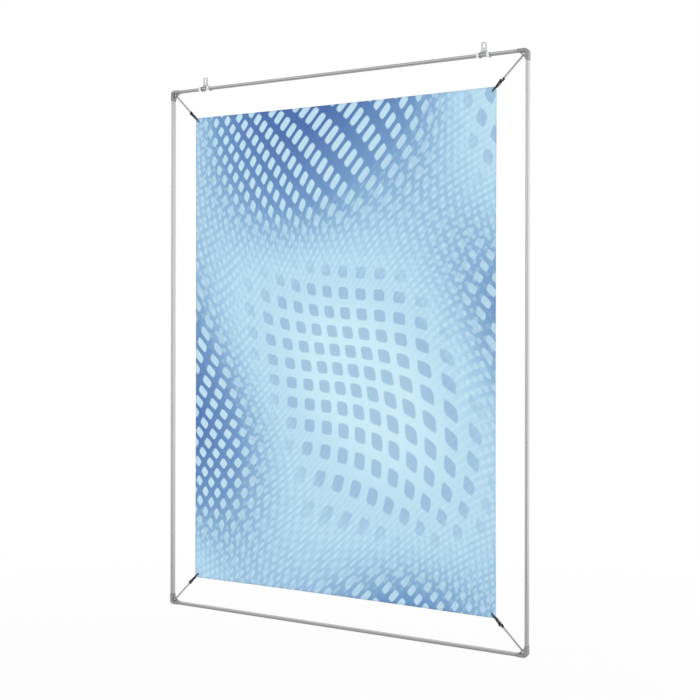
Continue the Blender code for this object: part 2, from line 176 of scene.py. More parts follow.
def satinAluminium(name, stops, lengthwise):
    # extruded aluminium, satin anodised: an even grey sheen with faint die lines along the bar
    material, tree, shader = newMaterial(name, Metallic=1)
    scale = [1 / aluminiumLook["dieLine"]] * 3
    scale[lengthwise] = 1 / aluminiumLook["lineLength"]
    coords = addNode(tree, "TexCoord").outputs["Object"]
    lines = addNode(tree, "Mapping", {"Scale": scale}, {"Vector": coords})
    grain = addNode(tree, "TexNoise", {"Scale": 1, "Detail": 3}, {"Vector": lines.outputs[0]}).outputs["Fac"]
    tintAndGloss(tree, shader, stops, grain, aluminiumLook["gloss"], grain)
    bump = addNode(tree, "Bump", {"Strength": 0.02, "Distance": aluminiumLook["relief"]}, {"Height": grain})
    tree.links.new(bump.outputs["Normal"], shader.inputs["Normal"])
    return material


def mouldedPlastic(name, look):
    # injection moulded plastic from an eroded tool: a dull skin with a fine even grain and faint cloudiness
    material, tree, shader = newMaterial(name, IOR=1.5, Specular_IOR_Level=look["shine"])
    coords = addNode(tree, "TexCoord").outputs["Object"]
    grain = addNode(tree, "TexNoise", {"Scale": 1 / look["grain"], "Detail": 2},
                    {"Vector": coords}).outputs["Fac"]
    cloud = addNode(tree, "TexNoise", {"Scale": 1 / look["cloud"], "Detail": 3},
                    {"Vector": coords}).outputs["Fac"]
    tintAndGloss(tree, shader, look["stops"], cloud, look["gloss"], grain)
    bump = addNode(tree, "Bump", {"Strength": 0.25, "Distance": look["relief"]}, {"Height": grain})
    tree.links.new(bump.outputs["Normal"], shader.inputs["Normal"])
    return material


def drawnMetal(name, look):
    # small metal parts, drawn or stamped and tumbled: bright with soft uneven streaks
    material, tree, shader = newMaterial(name, Metallic=1)
    coords = addNode(tree, "TexCoord").outputs["Object"]
    wear = addNode(tree, "TexNoise", {"Scale": 1 / look["streak"], "Detail": 4},
                   {"Vector": coords}).outputs["Fac"]
    tintAndGloss(tree, shader, look["stops"], wear, look["gloss"], wear)
    return material


elasticPaintedShadeLook = {
    "stops": ((0.1, "#727476"), (0.8, "#acaeb0")),  # painted shade: darker under the other strands, lighter on top
}


def braidedElastic():
    # polyester braid over rubber: dull grey strands, with painted shade where they dive under each other
    material, tree, shader = newMaterial("braidedElastic", Roughness=0.8, Sheen_Weight=0.2)
    strand = addNode(tree, "Attribute", {"attribute_name": "strand"})
    # the strand attribute sets painted shade in the dips between strands
    tint = addNode(tree, "ValToRGB", {"stops": elasticPaintedShadeLook["stops"]}, {"Fac": strand.outputs["Fac"]})
    tree.links.new(tint.outputs["Color"], shader.inputs["Base Color"])
    return material


polycarbonateLook = {
    "flow": 9 * mm,          # length of the flow marks
    "gloss": (0.08, 0.18),
    "milky": ((0.3, "#eceeef"), (0.7, "#f6f7f8")),
    # painted shade and reflection of the rail, by height: darkest at the rail, paling up to the top of the
    # eye
    "clear": ((0.0, "#85888b"), (0.12, "#a9acaf"), (0.3, "#cfd1d3"), (0.45, "#d4d6d8"), (0.62, "#c6cacc")),
}


def milkyPolycarbonate():
    # moulded polycarbonate, milky: nearly white, a little light passes, faint flow marks in the gloss
    look = polycarbonateLook
    material, tree, shader = newMaterial("milkyPolycarbonate", IOR=1.58, Transmission_Weight=0.15)
    coords = addNode(tree, "TexCoord").outputs["Object"]
    flow = addNode(tree, "TexNoise", {"Scale": 1 / look["flow"], "Detail": 3, "Distortion": 1},
                   {"Vector": coords}).outputs["Fac"]
    tintAndGloss(tree, shader, look["milky"], flow, look["gloss"], flow)
    return material


def clearPolycarbonatePaintedShade(foot, top):
    # the same plastic, clear, with painted shade and reflection of the rail: grey at its foot, paling towards
    # the eye
    look = polycarbonateLook
    material, tree, shader = newMaterial("clearPolycarbonatePaintedShade", IOR=1.58, Transmission_Weight=0.3)
    coords = addNode(tree, "TexCoord").outputs["Object"]
    height = addNode(tree, "SeparateXYZ", None, {0: coords})
    # painted shade: the colour follows the height above the rail
    rise = addNode(tree, "MapRange", {"From Min": foot, "From Max": top},
                   {"Value": height.outputs["Z"]}).outputs["Result"]
    flow = addNode(tree, "TexNoise", {"Scale": 1 / look["flow"], "Detail": 3},
                   {"Vector": coords}).outputs["Fac"]
    tintAndGloss(tree, shader, look["clear"], rise, look["gloss"], flow)
    return material


printLook = {
    "deep": "#426cae",
    "middle": "#6e9acb",
    "light": "#aed8f3",
    "palest": "#cff1ff",
    "ground": ((0.10, "deep"), (0.36, "middle"), (0.58, "light"), (0.90, "palest")),  # colours by tone
    # turn in degrees, length of one wave, how far it bends the page across and down
    "sweeps": ((90, 780 * mm, (45 * mm, 60 * mm, 0)), (35, 460 * mm, (16 * mm, 12 * mm, 0))),
    # turn, length of one wave, phase
    "zones": ((40, 620 * mm, 3.4), (-35, 900 * mm, 2.6)),
    # turn, pitch, strength, tones from none to all at either end
    "lines": (-52, 10.5 * mm, 0.40, ((0.45, 0.62), (0.90, 0.70))),
    # pitch across and down, turn, growth with the tone, size, tones from none to all, strength, colour
    "lozenges": (
        ((20 * mm, 28 * mm), 8, -0.10, 0.34, ((0.62, 0.30),), 0.85, "palest"),
        ((11 * mm, 15 * mm), -20, 0.10, 0.22, ((0.34, 0.50), (0.74, 0.60)), 0.45, "palest"),
        ((34 * mm, 46 * mm), 24, 0.22, 0.12, ((0.52, 0.75),), 0.50, "middle"),
    ),
    "lozengeEdge": 0.04,       # softness of the lozenges' edges, as a share of the pitch
    "bareCloth": "#f2f4f6",
    "backFade": 0.6,           # share of bare cloth that shows on the back
    "thread": 2 * mm,          # real threads are about 0.4 mm, drawn coarser so that they show
    "threadRelief": 0.25 * mm,
    "between": 0.96,           # painted shade: brightness left between the threads
}


def inPage(degrees):
    return (0, 0, math.radians(degrees))  # a turn within the page


def pageWaves(tree, page, turn, period, phase=0):
    # even waves from 0 to 1 and back over the page
    turned = addNode(tree, "Mapping", {"Rotation": inPage(turn)}, {"Vector": page})
    scale = 2 * math.pi / 20 / period  # a Wave texture runs through 20 radians for each unit
    return addNode(tree, "TexWave", {"wave_profile": "SIN", "Scale": scale, "Phase Offset": phase},
                   {"Vector": turned.outputs[0]}).outputs["Fac"]


def bendPage(tree, page):
    # slow sine sweeps bend the page, so that every motif on it flows
    bent = page
    for turn, period, height in printLook["sweeps"]:
        sweep = addNode(tree, "Mapping", {
            "Rotation": inPage(turn), "Scale": [2 * math.pi / period] * 3,
        }, {"Vector": page})
        sine = addNode(tree, "VectorMath", {"operation": "SINE"}, {0: sweep.outputs[0]})
        bent = addNode(tree, "VectorMath", {"operation": "MULTIPLY_ADD", 1: height},
                       {0: sine.outputs[0], 2: bent}).outputs[0]
    return bent


def zoneTone(tree, bent):
    # broad zones, from deep at 0 to pale at 1
    zones = [pageWaves(tree, bent, *zone) for zone in printLook["zones"]]
    both = addNode(tree, "Math", {"operation": "ADD"}, {0: zones[0], 1: zones[1]})
    return addNode(tree, "Math", {"operation": "MULTIPLY", 1: 0.5}, {0: both.outputs[0]}).outputs[0]


def inTones(tree, tone, amount, reaches):
    # keeps a motif to a band of tones
    for start, end in reaches:
        share = addNode(tree, "MapRange", {
            "interpolation_type": "SMOOTHSTEP", "From Min": start, "From Max": end,
        }, {"Value": tone})
        amount = addNode(tree, "Math", {"operation": "MULTIPLY"},
                         {0: amount, 1: share.outputs["Result"]}).outputs[0]
    return amount


def addLines(tree, bent, tone, colour):
    # fine pale lines that follow the flow between the zones
    turn, pitch, strength, reaches = printLook["lines"]
    lines = pageWaves(tree, bent, turn, pitch)
    amount = addNode(tree, "MapRange", {"From Min": 0.5, "From Max": 1, "To Max": strength},
                     {"Value": lines}).outputs["Result"]
    return addNode(tree, "Mix", {"data_type": "RGBA", mixB: linearColour(printLook["palest"])},
                   {0: inTones(tree, tone, amount, reaches), mixA: colour}).outputs[mixResult]


def addLozenges(tree, bent, tone, colour):
    # staggered rows: pale on the deep zones, small between, faintly deeper on the pale ones
    soft = printLook["lozengeEdge"]
    for pitch, turn, growth, size, reaches, strength, shade in printLook["lozenges"]:
        turned = addNode(tree, "Mapping", {"Rotation": inPage(turn)}, {"Vector": bent})
        lattice = addNode(tree, "Mapping", {
            "Scale": (1 / pitch[0], 1 / pitch[1], 1), "Rotation": inPage(45),
        }, {"Vector": turned.outputs[0]})
        cell = addNode(tree, "TexVoronoi", {
            "voronoi_dimensions": "2D", "distance": "MINKOWSKI", "Exponent": 4, "Randomness": 0, "Scale": 1,
        }, {"Vector": lattice.outputs[0]})
        width = addNode(tree, "Math", {"operation": "MULTIPLY_ADD", 1: growth, 2: size}, {0: tone})
        inside = addNode(tree, "Math", {"operation": "SUBTRACT"},
                         {0: width.outputs[0], 1: cell.outputs["Distance"]})
        amount = addNode(tree, "MapRange", {
            "interpolation_type": "SMOOTHSTEP", "From Min": -soft, "From Max": soft, "To Max": strength,
        }, {"Value": inside.outputs[0]}).outputs["Result"]
        colour = addNode(tree, "Mix", {"data_type": "RGBA", mixB: linearColour(printLook[shade])},
                         {0: inTones(tree, tone, amount, reaches), mixA: colour}).outputs[mixResult]
    return colour


def addWeave(tree, shader, page, colour):
    # plain weave, with painted shade between the threads
    threads = [pageWaves(tree, page, turn, printLook["thread"]) for turn in (0, 90)]
    weave = addNode(tree, "Math", {"operation": "MULTIPLY"}, {0: threads[0], 1: threads[1]})
    bump = addNode(tree, "Bump", {"Strength": 0.5, "Distance": printLook["threadRelief"]},
                   {"Height": weave.outputs[0]})
    # painted shade: the colour is darkened in the dips between the threads
    depth = addNode(tree, "MapRange", {"To Min": printLook["between"], "To Max": 1},
                    {"Value": weave.outputs[0]})
    shaded = addNode(tree, "VectorMath", {"operation": "SCALE"},
                     {0: colour, "Scale": depth.outputs["Result"]})
    tree.links.new(bump.outputs["Normal"], shader.inputs["Normal"])
    tree.links.new(shaded.outputs[0], shader.inputs["Base Color"])


def printedPolyester(name, centre, fade):
    # woven polyester, dye printed: flat soft colour, dull, with the threads just showing, faded on the back
    material, tree, shader = newMaterial(name, Roughness=0.82, Sheen_Weight=0.12)
    coords = addNode(tree, "TexCoord").outputs["Object"]
    page = addNode(tree, "Mapping", {
        "Rotation": (math.radians(90), 0, 0), "Location": (0, centre.z, 0),
    }, {"Vector": coords}).outputs[0]
    bent = bendPage(tree, page)
    tone = zoneTone(tree, bent)
    ground = [(position, printLook[shade]) for position, shade in printLook["ground"]]
    colour = addNode(tree, "ValToRGB", {"stops": ground}, {"Fac": tone}).outputs["Color"]
    colour = addLines(tree, bent, tone, colour)
    colour = addLozenges(tree, bent, tone, colour)
    if fade:
        bare = linearColour(printLook["bareCloth"])
        colour = addNode(tree, "Mix", {"data_type": "RGBA", 0: fade, mixB: bare},
                         {mixA: colour}).outputs[mixResult]
    addWeave(tree, shader, page, colour)
    return material


# Shapes

def addObject(name, data):
    thing = bpy.data.objects.new(name, data)
    bpy.context.scene.collection.objects.link(thing)
    return thing


def ofKind(geom, kind):
    # the vertices or the edges among what an operator gives back
    return [part for part in geom if isinstance(part, kind)]


def outlineSolid(points, low, high, view=Matrix()):
    # an outline in XY, run from low to high along Z, then stood up by a view
    shape = bmesh.new()
    face = shape.faces.new([shape.verts.new((x, y, low)) for x, y in points])
    run = bmesh.ops.extrude_face_region(shape, geom=[face])["geom"]
    bmesh.ops.translate(shape, vec=(0, 0, high - low), verts=ofKind(run, bmesh.types.BMVert))
    bmesh.ops.recalc_face_normals(shape, faces=shape.faces)
    shape.transform(view)
    return shape


def boxSolid(low, high):
    shape = bmesh.new()
    low, high = Vector(low), Vector(high)
    place = Matrix.Translation((low + high) / 2) @ Matrix.Diagonal((*(high - low), 1))
    bmesh.ops.create_cube(shape, size=1, matrix=place)
    return shape


def rodSolid(radius, low, high, axis, sides=32):
    # a round rod between two levels along an axis through the origin
    shape = bmesh.new()
    turn = Vector((0, 0, 1)).rotation_difference(axis).to_matrix().to_4x4()
    place = turn @ Matrix.Translation((0, 0, (low + high) / 2))
    bmesh.ops.create_cone(shape, cap_ends=True, segments=sides, radius1=radius, radius2=radius,
                          depth=high - low, matrix=place)
    return shape


def turnedSolid(profile, sides=40):
    # a closed profile of (x, radius) points, turned about X
    shape = bmesh.new()
    verts = [shape.verts.new((x, radius, 0)) for x, radius in profile]
    edges = [shape.edges.new((verts[index - 1], verts[index])) for index in range(len(verts))]
    bmesh.ops.spin(shape, geom=verts + edges, cent=(0, 0, 0), axis=(1, 0, 0), angle=2 * math.pi,
                   steps=sides, use_merge=True)
    bmesh.ops.remove_doubles(shape, verts=shape.verts, dist=mergeDistance)
    bmesh.ops.recalc_face_normals(shape, faces=shape.faces)
    return shape


def roundEdges(shape, width, segments=3, above=30, chosen=None):
    # rounds the edges that turn by more than some degrees, or only the chosen ones among them
    limit = math.radians(above)
    edges = [edge for edge in shape.edges if edge.is_manifold and edge.calc_face_angle(0) > limit]
    if chosen:
        edges = [edge for edge in edges if chosen(edge)]
    bmesh.ops.bevel(shape, geom=edges, offset=width, segments=segments, profile=0.5, affect="EDGES",
                    material=-1, clamp_overlap=True)
    return shape


def runsAlong(axis):
    # picks edges that lie along an axis
    def test(edge):
        along = edge.verts[1].co - edge.verts[0].co
        return abs(along[axis]) > inLine * along.length
    return test


def atLevel(lengthwise, axis, level):
    # picks edges that lie along one axis at a level of another
    along = runsAlong(lengthwise)
    return lambda edge: along(edge) and abs(edge.verts[0].co[axis] - level) < closeTo


def inOrder(shape):
    # the Boolean solver gives its parts in any order, so they are sorted, and runs differ by rounding at most
    def spot(part):
        corners = part.verts if hasattr(part, "verts") else [part]
        return sorted(tuple(corner.co) for corner in corners)

    for parts in (shape.verts, shape.edges, shape.faces):
        for rank, part in enumerate(sorted(parts, key=spot)):
            part.index = rank
        parts.sort()


def fuse(bodies, cuts=()):
    # one closed shape: the bodies joined, then the cuts taken out
    shape = bodies[0]
    for index, other in enumerate((*bodies[1:], *cuts), 1):
        helpers = []
        for part in (shape, other):
            mesh = bpy.data.meshes.new("helper")
            part.to_mesh(mesh)
            part.free()
            helpers.append(addObject("helper", mesh))
        step = helpers[0].modifiers.new("step", "BOOLEAN")
        step.object = helpers[1]
        step.operation = "UNION" if index < len(bodies) else "DIFFERENCE"
        step.solver = "EXACT"
        shape = bmesh.new()
        shape.from_object(helpers[0], bpy.context.evaluated_depsgraph_get())
        inOrder(shape)
        for helper in helpers:
            bpy.data.objects.remove(helper)
    bmesh.ops.remove_doubles(shape, verts=shape.verts, dist=mergeDistance)
    bmesh.ops.dissolve_limit(shape, angle_limit=math.radians(flatAngle), verts=shape.verts, edges=shape.edges)
    return shape


def makePiece(name, shape, place, finish, node, body=None):
    # a copy of the shape in its place, standing for a CAD node
    mesh = bpy.data.meshes.new(name)
    shape.to_mesh(mesh)
    mesh.transform(place)
    mesh.shade_smooth()
    mesh.set_sharp_from_angle(angle=math.radians(sharpAngle))
    mesh.materials.append(finish)
    piece = addObject(name, mesh)
    if body:
        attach(piece, body)
    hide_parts(node)
    return piece


def evenShading(piece):
    # flat faces keep flat shading beside their rounded edges
    piece.modifiers.new("evenShading", "WEIGHTED_NORMAL").keep_sharp = True


# Camera

cameraSettings = {
    "offset": (1.019, -1.716, 0.048),  # from the sheet's middle
    "tilt": 90,         # degrees, level
    "roll": -0.095,
    "turn": 29.96,      # from straight on
    "lens": 60.12,
    "sensor": 36.0,
    "shiftY": -0.0403,  # the photograph is cut so that the horizon lies above its middle
}


def addCamera():
    data = bpy.data.cameras.new("photoCamera")
    data.lens = cameraSettings["lens"]
    data.sensor_width = cameraSettings["sensor"]
    data.shift_y = cameraSettings["shiftY"]
    camera = addObject("photoCamera", data)
    low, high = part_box("printed_sheet")
    camera.location = (low + high) / 2 + Vector(cameraSettings["offset"])
    camera.rotation_euler = [math.radians(cameraSettings[angle]) for angle in ("tilt", "roll", "turn")]
    bpy.context.scene.camera = camera


addCamera()
print("camera set")


# Floor, background and light

stageSettings = {
    "floorDrop": 0.45,       # from the frame's lower edge
    "floorSize": 14.0,
    "floorColour": "#f3f3f1",
    "floorWhite": 0.9,       # share of plain white in the floor as the camera sees it, beside the shadow
    "fade": (1.2, 3.2),      # how far off the floor turns all white, like the background
    "ambient": 0.62,         # the world's strength on dull surfaces
    "lamps": (
        # name, place, width, height, watts
        ("frontSoftbox", (-1.3, -2.7, 0.5), 3.2, 3.0, 33),
        ("sideSoftbox", (3.2, -0.9, 0.6), 2.0, 2.6, 32),
        ("rightBackSoftbox", (1.5, 2.4, -0.5), 1.8, 2.6, 20),
        ("leftBackSoftbox", (-1.4, 2.4, 0.45), 2.4, 1.5, 11),
    ),
}


def whiteToView(tree):
    # 1 for rays that see the background directly, in a reflection or through clear plastic, 0 for all others
    path = addNode(tree, "LightPath")
    seen = addNode(tree, "Math", {"operation": "ADD"},
                   {0: path.outputs["Is Camera Ray"], 1: path.outputs["Is Glossy Ray"]})
    seen = addNode(tree, "Math", {"operation": "ADD", "use_clamp": True},
                   {0: seen.outputs[0], 1: path.outputs["Is Transmission Ray"]})
    return seen.outputs[0]


def addWorld():
    world = bpy.data.worlds.new("studio")
    world.use_nodes = True
    tree = world.node_tree
    background = tree.nodes["Background"]
    background.inputs["Color"].default_value = (1, 1, 1, 1)
    strength = addNode(tree, "MapRange", {"To Min": stageSettings["ambient"], "To Max": 1},
                       {"Value": whiteToView(tree)})
    tree.links.new(strength.outputs["Result"], background.inputs["Strength"])
    world.cycles.sampling_method = "NONE"  # an even background needs no map of where its light is
    bpy.context.scene.world = world


def paleFloor():
    # painted board, matt: it takes the shadow and turns white further off
    material, tree, shader = newMaterial("paleFloor", Roughness=0.9)
    shader.inputs["Base Color"].default_value = linearColour(stageSettings["floorColour"])
    white = addNode(tree, "Emission")
    coords = addNode(tree, "TexCoord").outputs["Object"]
    flat = addNode(tree, "Mapping", {"Scale": (1, 1, 0)}, {"Vector": coords})
    away = addNode(tree, "VectorMath", {"operation": "LENGTH"}, {0: flat.outputs[0]})
    plain = addNode(tree, "MapRange", {
        "interpolation_type": "SMOOTHSTEP", "To Min": stageSettings["floorWhite"],
        "From Min": stageSettings["fade"][0], "From Max": stageSettings["fade"][1],
    }, {"Value": away.outputs["Value"]})
    share = addNode(tree, "Math", {"operation": "MULTIPLY"},
                    {0: plain.outputs["Result"], 1: whiteToView(tree)})
    mixed = addNode(tree, "MixShader", None, {
        0: share.outputs[0], 1: shader.outputs[0], 2: white.outputs[0],
    })
    tree.links.new(mixed.outputs[0], tree.nodes["Material Output"].inputs["Surface"])
    return material


def addFloor():
    shape = bmesh.new()
    level = cadLow.z - stageSettings["floorDrop"]
    bmesh.ops.create_grid(shape, x_segments=1, y_segments=1, size=stageSettings["floorSize"] / 2,
                          matrix=Matrix.Translation((0, 0, level)))
    mesh = bpy.data.meshes.new("floor")
    shape.to_mesh(mesh)
    shape.free()
    mesh.materials.append(paleFloor())
    addObject("floor", mesh)


def addLamps():
    target = (cadLow + cadHigh) / 2
    for name, place, width, height, watts in stageSettings["lamps"]:
        data = bpy.data.lights.new(name, "AREA")
        data.shape = "RECTANGLE"
        data.size = width
        data.size_y = height
        data.energy = watts
        lamp = addObject(name, data)
        lamp.location = place
        lamp.rotation_mode = "QUATERNION"
        lamp.rotation_quaternion = (target - Vector(place)).to_track_quat("-Z", "Y")


bpy.context.scene.view_settings.view_transform = "Standard"
addWorld()
addFloor()
addLamps()
print("floor and light set")


# Rails

railSettings = {
    "wall": 0.8 * mm,
    "edgeRound": 1.3 * mm,
    "rimRound": 0.15 * mm,
}


def addRail(node, lengthwise, finish):
    # a hollow bar with its ends open
    low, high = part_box(node)
    shape = boxSolid(low, high)
    roundEdges(shape, railSettings["edgeRound"], segments=7, chosen=runsAlong(lengthwise))
    ends = [face for face in shape.faces if abs(face.normal[lengthwise]) > inLine]
    bmesh.ops.delete(shape, geom=ends, context="FACES_ONLY")
    bmesh.ops.solidify(shape, geom=shape.faces[:], thickness=railSettings["wall"])
    roundEdges(shape, railSettings["rimRound"], segments=2, above=60)
    piece = makePiece(f"tube_{node}", shape, Matrix(), finish, node, "frame")
    shape.free()
    evenShading(piece)


uprightAluminium = satinAluminium("satinAluminiumUpright", aluminiumLook["upright"], 2)
# the level bars' copy of the aluminium carries painted shade
shadedLevelAluminium = satinAluminium("satinAluminiumLevelPaintedShade", aluminiumLook["level"], 0)
for node in ("top_rail", "bottom_rail"):
    addRail(node, 0, shadedLevelAluminium)
for node in ("left_rail", "right_rail"):
    addRail(node, 2, uprightAluminium)
print("rails done")


# Corners

cornerSettings = {
    "seatGap": 0.3 * mm,
    "outerRound": 6.5 * mm,
    "innerRound": 1.2 * mm,
    "rimRound": 0.8 * mm,
    "sink": 0.8 * mm,           # how far spigots, brace and eyelet run into what they stand on
    "spigotRound": 0.4 * mm,
    "braceThickness": 1.6 * mm,
    "braceDepth": 5.0 * mm,
    "braceRound": 0.4 * mm,
    "eyeletRadius": 2.35 * mm,
    "eyeletHeight": 0.5 * mm,
    "eyeletRound": 0.3 * mm,
    "holeRadius": 1.8 * mm,
}
cornerLook = {
    "stops": ((0.35, "#87888a"), (0.65, "#939496")),
    "grain": 0.9 * mm,       # real grain is about 0.2 mm, drawn coarser so that it shows
    "cloud": 18 * mm,
    "gloss": (0.43, 0.57),
    "relief": 0.04 * mm,
    "shine": 0.4,
}


def cornerShape():
    # the top right corner in its place, which the other three are turned from
    size = cornerSettings
    topLow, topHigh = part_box("top_rail")
    sideLow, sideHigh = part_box("right_rail")
    low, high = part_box("corner_top_right")
    proud = high.x - sideHigh.x
    innerX, innerZ = sideLow.x - proud, topLow.z - proud
    legX, legZ = topHigh.x + size["seatGap"], sideHigh.z + size["seatGap"]
    elbow = outlineSolid([
        (legX, innerZ), (innerX, innerZ), (innerX, legZ), (high.x, legZ), (high.x, high.z), (legX, high.z),
    ], -high.y, high.y, frontView)
    across = runsAlong(1)

    def standsAt(x, z):
        return lambda edge: across(edge) and (edge.verts[0].co.xz - Vector((x, z))).length < closeTo

    roundEdges(elbow, size["outerRound"], segments=12, chosen=standsAt(high.x, high.z))
    roundEdges(elbow, size["innerRound"], segments=5, chosen=standsAt(innerX, innerZ))
    roundEdges(elbow, size["rimRound"], segments=3, above=40)

    # spigots inside the tubes
    wall, sink = railSettings["wall"] + size["seatGap"], size["sink"]
    spigots = [
        boxSolid((low.x, topLow.y + wall, topLow.z + wall),
                 (legX + sink, topHigh.y - wall, topHigh.z - wall)),
        boxSolid((sideLow.x + wall, sideLow.y + wall, low.z),
                 (sideHigh.x - wall, sideHigh.y - wall, legZ + sink)),
    ]
    for spigot in spigots:
        roundEdges(spigot, size["spigotRound"], segments=2)

    # brace, drawn along the cord's line and set in place
    braceFar = firstBox("cord_stop_outer")[0].x - size["seatGap"]
    braceNear = braceFar - size["braceThickness"]
    innerCorner = (firstPlace.inverted() @ Vector((innerX, 0, innerZ))).x
    halfLength = innerCorner - braceNear + sink
    halfDepth = size["braceDepth"] / 2
    brace = boxSolid((braceNear, -halfDepth, -halfLength), (braceFar, halfDepth, halfLength))
    roundEdges(brace, size["braceRound"])
    eyelet = rodSolid(size["eyeletRadius"], braceNear - size["eyeletHeight"], braceFar - sink, cordAxis)
    roundEdges(eyelet, size["eyeletRound"], segments=3, above=60)
    hole = rodSolid(size["holeRadius"], braceNear - cutPast, braceFar + cutPast, cordAxis)
    for shape in (brace, eyelet, hole):
        shape.transform(firstPlace)
    return fuse([elbow, *spigots, brace, eyelet], [hole])


greyNylon = mouldedPlastic("greyMouldedNylon", cornerLook)
shape = cornerShape()
for quadrant, place in places.items():
    turn = place @ firstPlace.inverted()
    piece = makePiece(f"elbow_{quadrant}", shape, turn, greyNylon, f"corner_{quadrant}",
                      "frame")
    evenShading(piece)
shape.free()
print("corners done")


# Cords and the sleeves crimped on their ends

cordSettings = {
    "sides": 40,
    "rings": 260,
    "strands": 6,            # strands that run each way round
    "lead": 9.0 * mm,        # length of one full turn of a strand
    "relief": 0.12 * mm,
}


def cordShape(low, high):
    # a round cord along X, dented where the strands of its braid dive under each other
    size = cordSettings
    radius = (high.y - low.y) / 2
    shape = rodSolid(radius, low.x, high.x, cordAxis, size["sides"])
    along = runsAlong(0)
    lengthwise = [edge for edge in shape.edges if along(edge)]
    bmesh.ops.subdivide_edges(shape, edges=lengthwise, cuts=size["rings"], use_grid_fill=True)
    strand = shape.verts.layers.float.new("strand")
    for vertex in shape.verts:
        turn = size["strands"] * math.atan2(vertex.co.z, vertex.co.y)
        climb = size["strands"] * 2 * math.pi * vertex.co.x / size["lead"]
        over = 0.5 + 0.5 * math.sin(turn + climb)
        under = 0.5 + 0.5 * math.sin(turn - climb)
        vertex[strand] = max(over, under)
        shrink = 1 - size["relief"] / radius * (1 - vertex[strand])
        vertex.co.y *= shrink
        vertex.co.z *= shrink
    return shape


crimpSettings = {
    "bore": 1.52 * mm,
    "rimRound": 0.25 * mm,
    "rimCut": 0.075 * mm,  # how far the middle of the rim's round is set back
    "stretches": 8,        # the middle is divided, so that it bends smoothly
    "pinch": 0.10,         # share by which it is pressed in
}
crimpLook = {
    "stops": ((0.35, "#dcddde"), (0.65, "#ededee")),
    "streak": 1.5 * mm,
    "gloss": (0.44, 0.62),
}


def crimpShape(low, high):
    # a sleeve, pressed in across its middle
    size = crimpSettings
    rim, cut, bore, stretches = size["rimRound"], size["rimCut"], size["bore"], size["stretches"]
    radius = (high.y - low.y) / 2
    length = high.x - low.x
    start = [(0, bore), (0, radius - rim), (cut, radius - cut), (rim, radius)]
    middle = [(rim + (length - 2 * rim) * step / stretches, radius) for step in range(1, stretches)]
    end = [(length - x, level) for x, level in reversed(start)]
    shape = turnedSolid(start + middle + end)
    for vertex in shape.verts:
        if vertex.co.yz.length > bore + closeTo:
            share = math.sin(math.pi * vertex.co.x / length) ** 2
            vertex.co.z *= 1 - size["pinch"] * share
    bmesh.ops.translate(shape, vec=(low.x, 0, 0), verts=shape.verts)
    return shape


cordFinish = braidedElastic()
shape = cordShape(*firstBox("cord"))
for quadrant, place in places.items():
    piece = makePiece(f"elastic_cord_{quadrant}", shape, place, cordFinish, f"cord_{quadrant}")
    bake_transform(piece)
shape.free()

crimpFinish = drawnMetal("crimpedAluminium", crimpLook)
for end in ("outer", "inner"):
    shape = crimpShape(*firstBox(f"cord_stop_{end}"))
    for quadrant, place in places.items():
        body = "frame" if end == "outer" else f"clip_{quadrant}"
        makePiece(f"crimp_{end}_{quadrant}", shape, place, crimpFinish, f"cord_stop_{end}_{quadrant}",
                  body)
    shape.free()
print("cords done")


# Clips, drawn with the pivot at the origin and the cord along X

clipSettings = {
    "jawInner": 0.6 * mm,       # from the sheet's middle to the jaw's face
    "jawOuter": 2.2 * mm,
    "jawWidth": 3.0 * mm,
    "tipWidth": 1.6 * mm,
    "tipThickness": 0.8 * mm,
    "tipTaper": 4.5 * mm,
    "edgeRound": 0.22 * mm,
    "archRadius": 2.02 * mm,
    "pivotRadius": 1.7 * mm,
    "holeRadius": 0.95 * mm,
    "knuckleWidth": 1.6 * mm,
    "knuckleRadius": 1.45 * mm,  # slimmer than the lugs, which leaves the sheet's corner room
    "knuckleTrim": 0.1 * mm,    # what the room for the lugs takes off each side of it
    "lugInner": 1.1 * mm,
    "lugOuter": 1.8 * mm,
    "lugFoot": 3.7 * mm,
    "lugInset": 0.06 * mm,      # the lugs stand a hair inside the jaw's faces
    "hubStart": 7.0 * mm,
    "hubRadius": 2.65 * mm,
    "hubRound": 0.5 * mm,
    "spineSink": 0.8 * mm,      # how far the spine runs into the hub
    "pocketRadius": 2.25 * mm,
    "pocketEnd": 10.6 * mm,
    "boreRadius": 1.8 * mm,
    "tabStart": 1.8 * mm,
    "tabEnd": 8.8 * mm,
    "tabAngle": 24,
    "tabThickness": 1.1 * mm,
    "toothRadius": 0.3 * mm,
    "toothPlaces": (-14.6 * mm, -13.2 * mm, -11.8 * mm, -10.4 * mm),
    "toothShift": 0.7 * mm,     # the front jaw's teeth stand between those of the rear jaw
    "ridgeRadius": 0.32 * mm,
    "ridgeShares": (0.42, 0.56, 0.70, 0.84),   # along the finger tab
}
clipLook = {
    "stops": ((0.35, "#151516"), (0.65, "#1f1f21")),
    "grain": 0.8 * mm,       # real grain is about 0.2 mm, drawn coarser so that it shows
    "cloud": 12 * mm,
    "gloss": (0.38, 0.50),
    "relief": 0.03 * mm,
    "shine": 0.25,
}


def narrowTip(shape, tipX):
    # cuts a jaw back on both sides to the line from the lugs to the tip
    size = clipSettings
    run = -size["lugFoot"] - tipX
    drawIn = (size["jawWidth"] - size["tipWidth"]) / 2
    for side in (-1, 1):
        cut = bmesh.ops.bisect_plane(shape, geom=shape.verts[:] + shape.edges[:] + shape.faces[:],
                                     plane_co=(-size["lugFoot"], 0, side * size["jawWidth"] / 2),
                                     plane_no=(-drawIn, 0, side * run), clear_outer=True)["geom_cut"]
        bmesh.ops.contextual_create(shape, geom=ofKind(cut, bmesh.types.BMEdge))
    bmesh.ops.recalc_face_normals(shape, faces=shape.faces)
    return shape


def crossRod(x, y, radius, width):
    # a small round bar across the clip
    shape = rodSolid(radius, -width / 2, width / 2, pinAxis, sides=14)
    bmesh.ops.translate(shape, vec=(x, y, 0), verts=shape.verts)
    return shape


